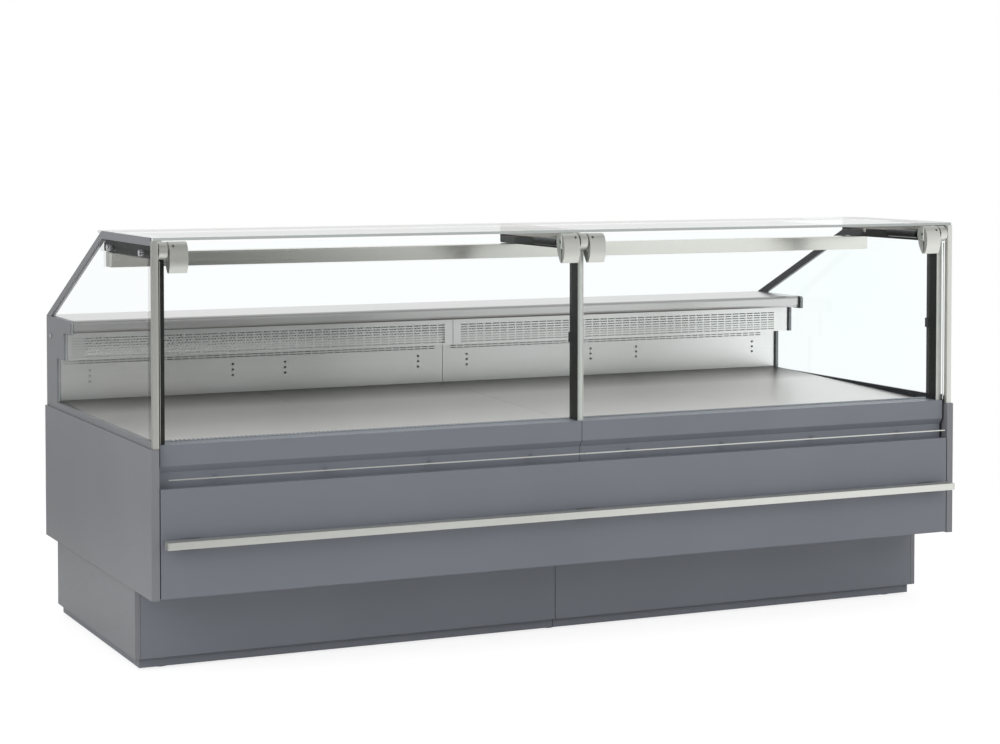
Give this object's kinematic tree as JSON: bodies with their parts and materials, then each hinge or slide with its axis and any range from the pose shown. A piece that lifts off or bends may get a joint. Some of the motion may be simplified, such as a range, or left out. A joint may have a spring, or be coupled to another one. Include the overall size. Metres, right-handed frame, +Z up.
{
  "type": "serve-over counter",
  "caption": "Serve-over refrigerated display counter with lift-up front glass, end glass, stainless well and worktop, bumper rail and recessed plinth.",
  "frame": {"origin": "middle of the counter's outline, on the floor", "axes": "+X along the counter to the right as the customer sees it, -Y towards the customer, +Z up"},
  "size_m": [2.545, 1.187, 1.182],
  "materials": {
    "grey_paint": "satin powder coat",
    "side_paint": "satin powder coat",
    "black_paint": "matt powder coat",
    "stainless": "brushed",
    "galvanised": "zinc coated",
    "aluminium": "brushed anodised",
    "bright_trim": "polished",
    "clear_glass": "toughened, clear",
    "insulation": "foamed-in-place core in a pale liner",
    "black_plastic": "moulded",
    "grey_plastic": "moulded",
    "gasket_rubber": "extruded",
    "copper": "drawn tube",
    "opal_plastic": "opal"
  },
  "bodies": {
    "cabinet": {"base_frame": "black_paint", "levelling_feet": "black_plastic", "kick_plates": "grey_paint", "base_sides": "side_paint", "plinth_skirts": "grey_paint", "insulated_tank": "insulation", "front_panel": "grey_paint", "upper_fascias": "grey_paint", "fascia_end_gaskets": "gasket_rubber", "trim_strips": "bright_trim", "bumper_rail": "aluminium", "bumper_end_caps": "aluminium", "bumper_brackets": "grey_plastic", "end_panel_left": "side_paint", "end_panel_right": "side_paint", "end_wall_left": "side_paint", "end_wall_right": "side_paint", "end_frames": "side_paint", "front_stiles": "aluminium", "end_glass_left": "clear_glass", "end_glass_right": "clear_glass", "glass_clamp_bars": "black_paint", "glass_knobs": "bright_trim", "canopy_posts": "black_paint", "post_front_strips": "aluminium", "canopy_arms": "black_paint", "canopy_rails": "aluminium", "top_glass": "clear_glass", "end_linings": "gasket_rubber", "lamp_housing": "aluminium", "lamp_diffuser": "opal_plastic", "led_strip": "opal_plastic", "hinge_blocks": "aluminium", "lift_cylinders": "black_paint", "tray_bearers": "galvanised", "air_return_grille": "grey_paint", "rear_walls": "stainless", "air_grilles": "stainless", "worktop": "stainless", "rear_panel": "grey_paint", "evaporator_coil": "galvanised", "fan_plate": "galvanised", "fan_motors": "black_plastic", "drain_pipe": "grey_plastic", "refrigerant_lines": "copper", "control_box": "grey_plastic"},
    "glass_left": {"front_glass_left": "clear_glass", "glass_hinges_left": "aluminium"},
    "glass_right": {"front_glass_right": "clear_glass", "glass_hinges_right": "aluminium"},
    "spring_rod_left": {"lift_rod_left": "bright_trim"},
    "spring_rod_right": {"lift_rod_right": "bright_trim"},
    "tray_1": {"deck_tray_1": "stainless"},
    "tray_2": {"deck_tray_2": "stainless"},
    "tray_3": {"deck_tray_3": "stainless"},
    "tray_4": {"deck_tray_4": "stainless"},
    "fan_left": {"fan_rotor_left": "black_plastic"},
    "fan_right": {"fan_rotor_right": "black_plastic"},
    "rocker": {"lamp_switch": "black_plastic"},
    "dial": {"thermostat_knob": "black_plastic"}
  },
  "joints": [
    {"name": "glass_left_lift", "type": "hinge", "parent": "cabinet", "child": "glass_left", "pos_m": [-0.6175, -0.5175, 1.147], "axis": [-1, 0, 0], "range_deg": [0, 80]},
    {"name": "glass_right_lift", "type": "hinge", "parent": "cabinet", "child": "glass_right", "pos_m": [0.6175, -0.5175, 1.147], "axis": [-1, 0, 0], "range_deg": [0, 80]},
    {"name": "spring_rod_left_slide", "type": "slide", "parent": "cabinet", "child": "spring_rod_left", "axis": [0, -1, 0], "range_m": [0, 0.0181]},
    {"name": "spring_rod_right_slide", "type": "slide", "parent": "cabinet", "child": "spring_rod_right", "axis": [0, -1, 0], "range_m": [0, 0.0181]},
    {"name": "tray_1_lift_out", "type": "slide", "parent": "cabinet", "child": "tray_1", "axis": [0, 0, 1], "range_m": [0, 0.1]},
    {"name": "tray_2_lift_out", "type": "slide", "parent": "cabinet", "child": "tray_2", "axis": [0, 0, 1], "range_m": [0, 0.1]},
    {"name": "tray_3_lift_out", "type": "slide", "parent": "cabinet", "child": "tray_3", "axis": [0, 0, 1], "range_m": [0, 0.1]},
    {"name": "tray_4_lift_out", "type": "slide", "parent": "cabinet", "child": "tray_4", "axis": [0, 0, 1], "range_m": [0, 0.1]},
    {"name": "fan_left_spin", "type": "hinge", "parent": "cabinet", "child": "fan_left", "pos_m": [-0.5, -0.1935, 0.43], "axis": [0, 1, 0], "continuous": true},
    {"name": "fan_right_spin", "type": "hinge", "parent": "cabinet", "child": "fan_right", "pos_m": [0.5, -0.1935, 0.43], "axis": [0, 1, 0], "continuous": true},
    {"name": "lamp_switch_rock", "type": "hinge", "parent": "cabinet", "child": "rocker", "pos_m": [0.965, 0.5785, 0.76], "axis": [-1, 0, 0], "range_deg": [0, 16]},
    {"name": "thermostat_turn", "type": "hinge", "parent": "cabinet", "child": "dial", "pos_m": [1.085, 0.5785, 0.76], "axis": [0, 1, 0], "range_deg": [0, 270]}
  ],
  "couplings": [
    {"joint": "spring_rod_left_slide", "follows": "glass_left_lift", "m_per_rad": 0.01289},
    {"joint": "spring_rod_right_slide", "follows": "glass_right_lift", "m_per_rad": 0.01289}
  ]
}
